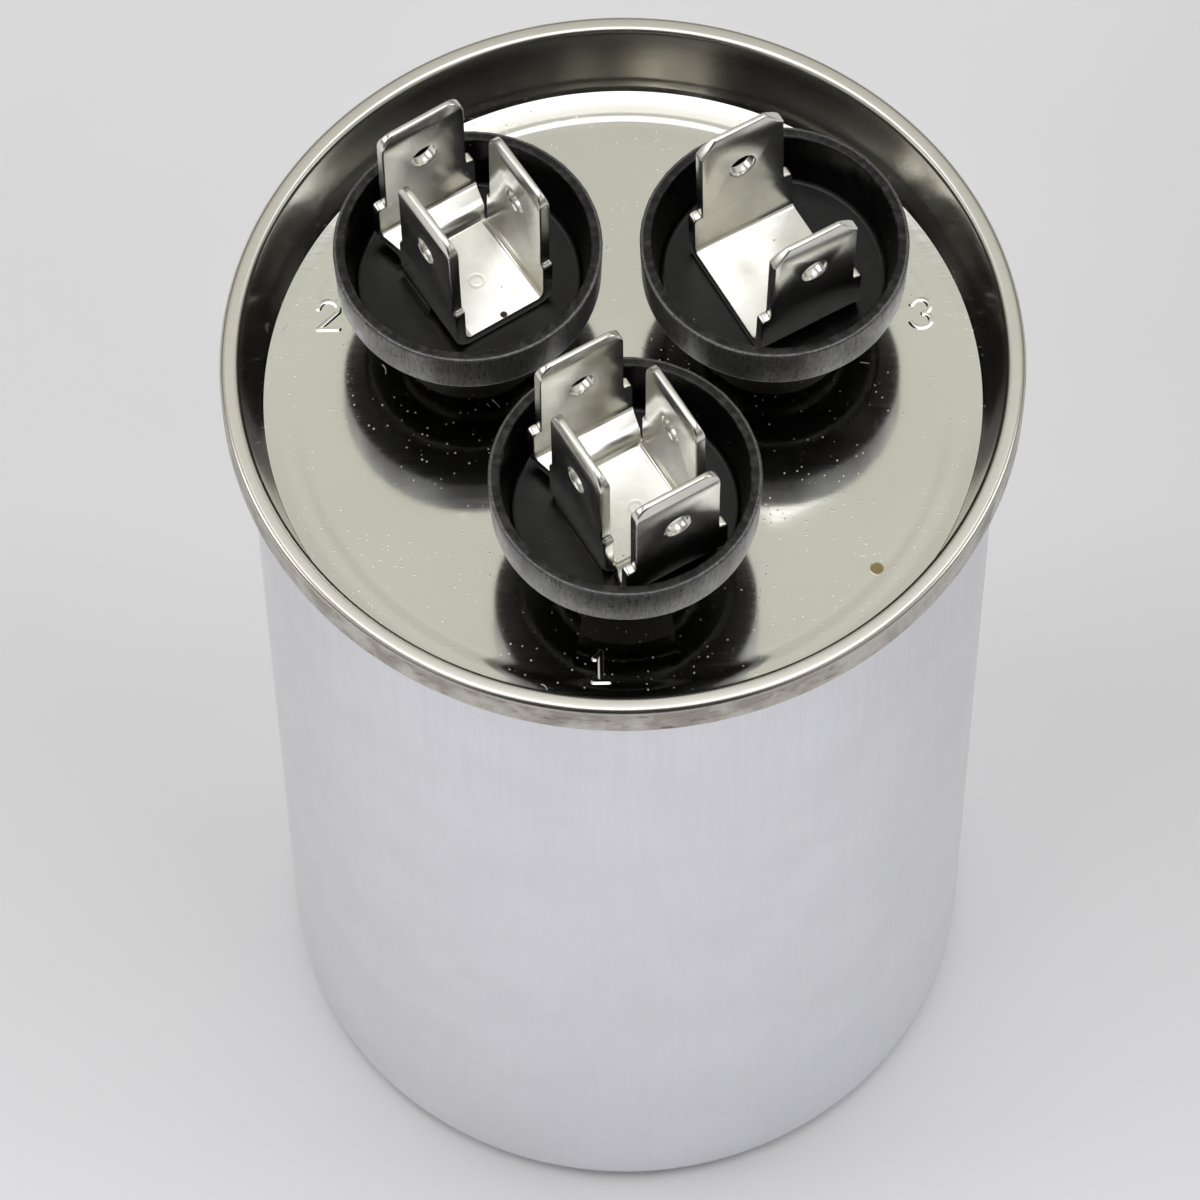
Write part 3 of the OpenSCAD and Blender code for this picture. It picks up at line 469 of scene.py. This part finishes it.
aluminium = drawnAluminium()
tinplate = rolledTinplate()
blackResin = mouldedBlack()
tinPlate = platedStrip()
innerFinishes = {
    "seam_compound": innerFinish("cured_sealant", "#5c4c3a", "#6d5b47", 1.1, 0.5),
    "pin": innerFinish("turned_brass", "#b49a58", "#c8b071", 0.55, 0.3, 1.0),
    "gasket": innerFinish("moulded_rubber", "#171718", "#222223", 0.65, 0.6),
    "washer": innerFinish("stamped_phenolic_paper", "#5e3a1f", "#74492a", 0.8, 0.45),
    "lug": innerFinish("tinned_brass_stamping", "#c9c3ae", "#d8d3c2", 0.7, 0.3, 1.0),
    "lead": innerFinish("tinned_copper_strap", "#cdb592", "#dcc9aa", 0.6, 0.3, 1.0),
    "interrupter_plate": innerFinish("stamped_phenolic_board", "#6a3f20", "#7d4d2a", 1.0, 0.45),
    "spacer_ring": innerFinish("moulded_polypropylene", "#dedbd1", "#e8e5dc", 1.1, 0.4),
    "core_tube": innerFinish("extruded_polypropylene", "#e2dfd5", "#ebe8e0", 1.1, 0.4),
    "winding": innerFinish("wound_metallised_film", "#c3c6ca", "#d5d8dc", 0.4, 0.25),
    "section_barrier": innerFinish("wrapped_plain_film", "#e6dfc8", "#f0ead8", 0.8, 0.3),
    "end_metal": innerFinish("arc_sprayed_zinc", "#85878a", "#a3a5a8", 0.3, 0.7, 1.0),
    "insulating_sleeve": innerFinish("rolled_electrical_board", "#c9bf9b", "#d8cfae", 0.9, 0.6),
    "bottom_cup": innerFinish("moulded_polypropylene_cup", "#dedbd1", "#e8e5dc", 1.1, 0.4),
}
for nodeName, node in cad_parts.items():
    for group, material in innerFinishes.items():
        if nodeName.startswith(group):
            node.data.materials.clear()
            node.data.materials.append(material)
print("materials ready")

# The can: a drawn cup with a rounded base, its mouth flared and folded into the seam
wall = bent([
    (canR - canValues["wall"] / 2, canValues["baseRound"] + 1, 0),
    (canR - canValues["wall"] / 2, flareZ, 1),
    (flangeTopR, bodyTopZ, foldR),
    (bodyHookR, bodyTopZ, foldR),
    (bodyHookR, hookEndZ, 0)], 10)
boreR = canR - canValues["wall"]
outerCorner = cornerArc((0, 0), (canR, 0), (canR, canValues["height"]), canValues["baseRound"], 14)
innerCorner = cornerArc((0, canValues["base"]), (boreR, canValues["base"]), (boreR, canValues["height"]),
                        canValues["baseRound"] - canValues["wall"], 8)
canLine = np.vstack([[(0, 0)], outerCorner, offsetLine(wall, -canValues["wall"] / 2),
                     offsetLine(wall, canValues["wall"] / 2)[::-1], innerCorner[::-1], [(0, canValues["base"])]])
dress(spun("drawn_can", canLine, canValues["steps"]), aluminium, "can")
print("can ready")

# The lid: panel, chuck wall, flat-topped bead, seam wall, curl and cover hook
riseValues = {"run": 3.4, "endShort": 0.2, "footSlope": 0.095, "footReach": 1.15, "ringSlope": 0.085, "ringAt": 2.2,
              "ringReach": 0.42, "points": 60, "samples": 400, "flatRings": (0, 6, 14)}


def panelRise(radius):
    # The panel's height over its middle is the running sum of its slope: steep at the wall's foot, and a ring inside it
    s = np.linspace(riseValues["run"], 0, riseValues["samples"])
    slope = (riseValues["footSlope"] * np.exp(-(s / riseValues["footReach"]) ** 4)
             + riseValues["ringSlope"] * np.exp(-((s - riseValues["ringAt"]) / riseValues["ringReach"]) ** 2))
    height = np.concatenate([[0], np.cumsum((slope[1:] + slope[:-1]) / 2 * -np.diff(s))])
    return np.interp(np.asarray(radius), chuckFootR - s, height)


half = lidValues["sheet"] / 2
footR = chuckFootR + lidValues["footOut"]
footRise = float(panelRise(footR))
riseR = np.linspace(chuckFootR - riseValues["run"], chuckFootR - riseValues["endShort"], riseValues["points"])
flatPart = [(r, panelZ - half, 0) for r in riseValues["flatRings"]]
risingPart = [(r, panelZ - half + h, 0) for r, h in zip(riseR, panelRise(riseR))]
lidLine = bent(flatPart + risingPart + [
    (footR, panelZ - half + footRise, lidValues["foot"]),
    (chuckTopR, canValues["height"] - half, lidValues["beadCorner"]),
    (seamWallR, canValues["height"] - half, lidValues["beadCorner"]),
    (seamWallR, seamZ + half, curlR),
    (coverHookR, seamZ + half, curlR),
    (coverHookR, hookTipZ, 0)], 14)
lidProfile = np.vstack([offsetLine(lidLine, half), offsetLine(lidLine, -half)[::-1]])
lid = spun("pressed_lid", lidProfile, lidValues["steps"])
for side in terminalSpots:
    x, y, z = spotOf(side)
    holeLine = [(0, -1), (lidValues["hole"], -1), (lidValues["hole"], 1), (0, 1)]
    drill = spun("drill_" + side, holeLine, lidValues["holeSteps"], (x, y, z))
    cut = lid.modifiers.new("hole_" + side, "BOOLEAN")
    cut.object = drill
    cut.solver = "EXACT"
bpy.context.view_layer.update()
cutMesh = bpy.data.meshes.new_from_object(lid.evaluated_get(bpy.context.evaluated_depsgraph_get()))
lid.modifiers.clear()
lid.data = cutMesh
for side in terminalSpots:
    bpy.data.objects.remove(bpy.data.objects["drill_" + side])
dress(lid, tinplate, "lid")
print("lid ready", len(lid.data.polygons))

# Plain terminal numerals pressed up in the panel
numeralValues = {"height": 2.2, "stroke": 0.15, "lift": {"1": 0.085, "2": 0.048, "3": 0.048}, "sink": 0.012,
                 "size": 3.4, "grid": 140}
numeralPlaces = {"1": (-1.82, -20.55), "2": (-19.9, 6.7), "3": (20.3, 6.2)}
# Strokes on a field 1 wide and 1.6 high, as lists of points
numeralStrokes = {
    "1": [[(-0.25, 1.25), (0.05, 1.6), (0.05, 0.0)], [(-0.3, 0.0), (0.4, 0.0)]],
    "2": [[(-0.5 * math.cos(a), 1.1 + 0.5 * math.sin(a)) for a in np.linspace(0.15, 3.4, 14)]
          + [(-0.5, 0.0), (0.5, 0.0)]],
    "3": [[(-0.45 * math.cos(a), 1.18 + 0.42 * math.sin(a)) for a in np.linspace(0.3, 4.4, 14)]
          + [(0.5 * math.cos(a), 0.42 + 0.42 * math.sin(a)) for a in np.linspace(1.3, -2.8, 14)]],
}


def numeral(text, spot):
    # Height over the panel is the lift times a cosine that falls off from the nearest stroke, sunk just under elsewhere
    v = numeralValues
    side = np.linspace(-v["size"] / 2, v["size"] / 2, v["grid"])
    x, y = np.meshgrid(side, side, indexing="ij")
    nearest = np.full(x.shape, 9.0)
    for stroke in numeralStrokes[text]:
        line = np.array(stroke) * v["height"] / 1.6 - np.array([0, v["height"] / 2])
        for a, b in zip(line, line[1:]):
            along = b - a
            t = np.clip(((x - a[0]) * along[0] + (y - a[1]) * along[1]) / (along @ along), 0, 1)
            nearest = np.minimum(nearest, np.hypot(x - a[0] - t * along[0], y - a[1] - t * along[1]))
    reach = np.clip(nearest / (2 * v["stroke"]), 0, 1)
    ground = panelZ + panelRise(np.hypot(x + spot[0], y + spot[1]))
    z = ground + v["lift"][text] * (0.5 + 0.5 * np.cos(np.pi * reach)) - v["sink"]
    points = np.stack([x + spot[0], y + spot[1], z], 2).reshape(-1, 3) * mm
    n = v["grid"]
    i, j = np.meshgrid(np.arange(n - 1), np.arange(n - 1), indexing="ij")
    faces = np.stack([i * n + j, (i + 1) * n + j, (i + 1) * n + j + 1, i * n + j + 1], 2).reshape(-1, 4)
    piece = meshObject("numeral_" + text, points, faces, 60)
    piece.data.materials.append(tinplate)
    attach(piece, "root")


for text, spot in numeralPlaces.items():
    numeral(text, spot)
print("numerals ready")


def cup(side):
    # A moulded terminal cup, spun from spigot over neck, bowl and band to the rim and down the well
    v = cupValues
    floorZ = v["top"] - v["depth"]
    neckTop = floorZ - v["floor"]
    bandLow = (v["rim"] - v["draft"], v["top"] - v["band"])
    bowl = (v["floorR"] + 0.1, neckTop)
    wellTop = (v["rim"] - v["wall"], v["top"])
    wellFoot = (v["floorR"] + v["wellDraft"], floorZ)
    line = np.vstack([
        [(v["boreR"], v["spigotZ"]), (v["spigotR"], v["spigotZ"])],
        [(v["spigotR"], v["gasket"]), (v["neckR"], v["gasket"])],
        cornerArc((v["neckR"], v["gasket"]), (v["neckR"], neckTop), bowl, v["neckRound"], 8),
        cornerArc((v["neckR"], neckTop), bowl, bandLow, v["bowlRound"], 8),
        cornerArc(bowl, bandLow, (v["rim"], v["top"]), v["bandRound"], 8),
        cornerArc(bandLow, (v["rim"], v["top"]), wellTop, v["rimRound"], 6),
        cornerArc((v["rim"], v["top"]), wellTop, wellFoot, v["rimRound"], 6),
        cornerArc(wellTop, wellFoot, (0, floorZ), v["wellRound"], 8),
        [(v["headR"], floorZ), (v["headR"], floorZ - v["headT"]), (v["boreR"], floorZ - v["headT"])]])

    def flash(r, z, angle):
        # The rim's edge wavers by the sum of three sines of the angle, only near the top
        near = np.clip((z - v["top"] + flashValues["reach"]) / flashValues["reach"], 0, 1) * flashValues["size"]
        shift = terminalSpots[side]
        wave = sum(np.sin(count * angle + (i + 1) * shift) for i, count in enumerate(flashValues["waves"])) / 3
        inwards = np.where(r > v["rim"] - v["wall"] / 2, 1, -1)
        return r - near * (wave + flashValues["mean"]) * inwards, z - near * (1 + wave)

    dress(spun("moulded_cup_" + side, line, v["steps"], spotOf(side), flash), blackResin, "cup_" + side)


for side in terminalSpots:
    cup(side)
print("cups ready")

# Blade sets: the solids' own shape, merged, with its sheared and folded edges softened
bladeValues = {"bevel": 0.13, "segments": 4, "merge": 0.002, "bevelFrom": 32, "sharpFrom": 50}


def bladeSet(side):
    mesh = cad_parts["terminal_" + side].data.copy()
    work = bmesh.new()
    work.from_mesh(mesh)
    bmesh.ops.remove_doubles(work, verts=work.verts, dist=bladeValues["merge"] * mm)
    bmesh.ops.dissolve_limit(work, angle_limit=math.radians(1.0), verts=work.verts, edges=work.edges)
    work.to_mesh(mesh)
    work.free()
    piece = bpy.data.objects.new("blade_set_" + side, mesh)
    bpy.context.scene.collection.objects.link(piece)
    bevel = piece.modifiers.new("bevel", "BEVEL")
    bevel.width = bladeValues["bevel"] * mm
    bevel.segments = bladeValues["segments"]
    bevel.limit_method = "ANGLE"
    bevel.angle_limit = math.radians(bladeValues["bevelFrom"])
    bevel.use_clamp_overlap = False
    bpy.context.view_layer.update()
    finished = bpy.data.meshes.new_from_object(piece.evaluated_get(bpy.context.evaluated_depsgraph_get()))
    piece.modifiers.clear()
    piece.data = finished
    finished.shade_smooth()
    finished.set_sharp_from_angle(angle=math.radians(bladeValues["sharpFrom"]))
    dress(piece, tinPlate, "terminal_" + side)
    print("blade set", side, len(finished.polygons))


for side in terminalSpots:
    bladeSet(side)

# White paper under the can, with painted light: brighter at the can's front foot where its wall throws light down and
# brighter towards the front; with painted shade: darker towards the right
floorValues = {"size": 3.0, "paintedGlowAt": (0, -30 * mm, 0), "paintedGlowFrom": 80 * mm, "paintedGlowTo": 6 * mm}
floorMesh = bpy.data.meshes.new("studio_floor")
s = floorValues["size"]
floorMesh.from_pydata([(-s, -s, 0), (s, -s, 0), (s, s, 0), (-s, s, 0)], [], [(0, 1, 2, 3)])
floor = bpy.data.objects.new("studio_floor", floorMesh)
bpy.context.scene.collection.objects.link(floor)
paper, tree, place = newMaterial("white_paper_sweep")
clouds = addNode(tree, "TexNoise", {"Vector": place, "Scale": 1 / (40 * mm), "Detail": 2.0})
paintedGlowAway = addNode(tree, "VectorMath", {0: place, 1: floorValues["paintedGlowAt"]}, 1, operation="DISTANCE")
paintedGlow = addNode(tree, "MapRange", {
    0: paintedGlowAway, 1: floorValues["paintedGlowFrom"], 2: floorValues["paintedGlowTo"]}, interpolation_type="SMOOTHSTEP")
colour = addNode(tree, "Mix", {
    0: addNode(tree, "MapRange", {0: clouds, 1: 0.3, 2: 0.7}, interpolation_type="SMOOTHSTEP"), 6: linear("#e2e2e4"),
    7: linear("#e6e6e8")}, 2, data_type="RGBA")
ground = addNode(tree, "SeparateXYZ", {0: place}, 1)
# Painted light: the paper is brighter towards the front
colour = addNode(tree, "Mix", {
    0: addNode(tree, "MapRange", {
        0: ground, 1: 10 * mm, 2: -40 * mm, 3: 0.0, 4: 0.9}, interpolation_type="SMOOTHSTEP"),
    6: colour, 7: linear("#f8f8fc")}, 2, data_type="RGBA")
# Painted shade: the paper is darker towards the right
colour = addNode(tree, "Mix", {
    0: addNode(tree, "MapRange", {
        0: addNode(tree, "SeparateXYZ", {0: place}, 0), 1: 15 * mm, 2: 90 * mm, 3: 0.0, 4: 0.35
    }, interpolation_type="SMOOTHSTEP"),
    6: colour, 7: linear("#c6c6c8")}, 2, data_type="RGBA")
# Painted light: a brighter pool round the can's front foot
colour = addNode(tree, "Mix", {0: paintedGlow, 6: colour, 7: linear("#f8f8fb")}, 2, data_type="RGBA")
shader = addNode(tree, "BsdfPrincipled", {"Base Color": colour, "Roughness": 0.7})
addNode(tree, "OutputMaterial", {0: shader})
floorMesh.materials.append(paper)

# Studio round the object: a wide soft box overhead, pale warm walls, and the dark camera stand low in front
skyValues = {"walls": (0.74, 0.727, 0.655, 1), "low": (0.23, 0.215, 0.20, 1), "ceiling": (0.30, 0.29, 0.28, 1),
             "box": (2.15, 2.15, 2.2, 1), "far": (0.66, 0.648, 0.585, 1), "stand": (0.035, 0.028, 0.026, 1)}
world = bpy.data.worlds.new("studio")
bpy.context.scene.world = world
world.use_nodes = True
tree = world.node_tree
tree.nodes.clear()
direction = addNode(tree, "TexCoord", {}, "Generated")
x = addNode(tree, "SeparateXYZ", {0: direction}, 0)
y = addNode(tree, "SeparateXYZ", {0: direction}, 1)
z = addNode(tree, "SeparateXYZ", {0: direction}, 2)
height = addNode(tree, "Math", {0: z, 1: 0.02}, operation="MAXIMUM")
depth = addNode(tree, "Math", {0: y, 1: height}, operation="DIVIDE")
side = addNode(tree, "Math", {0: addNode(tree, "Math", {0: x, 1: height}, operation="DIVIDE")}, operation="ABSOLUTE")
box = addNode(tree, "Math", [
    addNode(tree, "MapRange", {0: depth, 1: 0.485, 2: 0.425}, interpolation_type="SMOOTHSTEP"),
    addNode(tree, "MapRange", {0: depth, 1: -0.95, 2: -0.75}, interpolation_type="SMOOTHSTEP"),
    addNode(tree, "MapRange", {0: side, 1: 0.58, 2: 0.47}, interpolation_type="SMOOTHSTEP")], operation="MULTIPLY")
ahead = addNode(tree, "Math", {
    0: addNode(tree, "Math", [y, -1.0], operation="MULTIPLY"), 1: 0.02}, operation="MAXIMUM")
turned = addNode(tree, "Math", {0: addNode(tree, "Math", {0: x, 1: ahead}, operation="DIVIDE")}, operation="ABSOLUTE")
raised = addNode(tree, "Math", {0: z, 1: ahead}, operation="DIVIDE")
stand = addNode(tree, "Math", [
    addNode(tree, "MapRange", {0: turned, 1: 0.85, 2: 0.6}, interpolation_type="SMOOTHSTEP"),
    addNode(tree, "MapRange", {0: raised, 1: 3.6, 2: 2.6}, interpolation_type="SMOOTHSTEP"),
    addNode(tree, "MapRange", {0: raised, 1: -0.02, 2: 0.02}, interpolation_type="SMOOTHSTEP"),
    addNode(tree, "MapRange", {0: y, 1: -0.05, 2: -0.15}, interpolation_type="SMOOTHSTEP")], operation="MULTIPLY")
sky = addNode(tree, "Mix", {
    0: addNode(tree, "MapRange", {0: z, 1: 0.62, 2: 0.3}, interpolation_type="SMOOTHSTEP"), 6: skyValues["walls"],
    7: skyValues["low"]}, 2, data_type="RGBA")
sky = addNode(tree, "Mix", {
    0: addNode(tree, "Math", [
        addNode(tree, "MapRange", {0: depth, 1: 0.56, 2: 0.66}, interpolation_type="SMOOTHSTEP"),
        addNode(tree, "MapRange", {0: z, 1: 0.62, 2: 0.7}, interpolation_type="SMOOTHSTEP")], operation="MULTIPLY"),
    6: sky, 7: skyValues["far"]}, 2, data_type="RGBA")
beside = addNode(tree, "Math", [
    addNode(tree, "MapRange", {0: depth, 1: 0.56, 2: 0.4}, interpolation_type="SMOOTHSTEP"),
    addNode(tree, "MapRange", {0: z, 1: 0.6, 2: 0.72}, interpolation_type="SMOOTHSTEP")], operation="MULTIPLY")
sky = addNode(tree, "Mix", {0: beside, 6: sky, 7: skyValues["ceiling"]}, 2, data_type="RGBA")
sky = addNode(tree, "Mix", {0: box, 6: sky, 7: skyValues["box"]}, 2, data_type="RGBA")
sky = addNode(tree, "Mix", {0: stand, 6: sky, 7: skyValues["stand"]}, 2, data_type="RGBA")
addNode(tree, "OutputWorld", {0: addNode(tree, "Background", {"Color": sky})})
bpy.context.scene.view_settings.view_transform = "Standard"


# Two weak round fill lights, one at each side, aimed at the middle of the can
lampValues = {"fill_left": {"spot": (-1.4, 0.1, 0.9), "power": 3.5, "colour": (1, 0.98, 0.96)},
              "fill_right": {"spot": (1.4, 0.1, 0.9), "power": 3, "colour": (0.96, 0.98, 1)}}
lampAim = Vector((0, 0, 0.05))
lampSize = 0.8
for name, v in lampValues.items():
    light = bpy.data.lights.new(name, "AREA")
    light.shape = "DISK"
    light.size = lampSize
    light.energy = v["power"]
    light.color = v["colour"]
    lamp = bpy.data.objects.new(name, light)
    lamp.location = v["spot"]
    lamp.rotation_euler = (lampAim - Vector(v["spot"])).to_track_quat("-Z", "Y").to_euler()
    bpy.context.scene.collection.objects.link(lamp)

cameraValues = {"place": (-0.00215, -0.22696, 0.46947), "tilt": 1.07948, "turn": -0.0018587, "roll": -0.0129729,
                "lens": 202.45, "sensor": 36, "clip": 0.01}
lens = bpy.data.cameras.new("camera")
lens.lens = cameraValues["lens"]
lens.sensor_width = cameraValues["sensor"]
lens.clip_start = cameraValues["clip"]
camera = bpy.data.objects.new("camera", lens)
camera.matrix_world = (Matrix.Translation(cameraValues["place"])
                       @ Matrix.Rotation(cameraValues["turn"], 4, "Z")
                       @ Matrix.Rotation(math.pi / 2 - cameraValues["tilt"], 4, "X")
                       @ Matrix.Rotation(cameraValues["roll"], 4, "Z"))
bpy.context.scene.collection.objects.link(camera)
bpy.context.scene.camera = camera
print("stage ready")
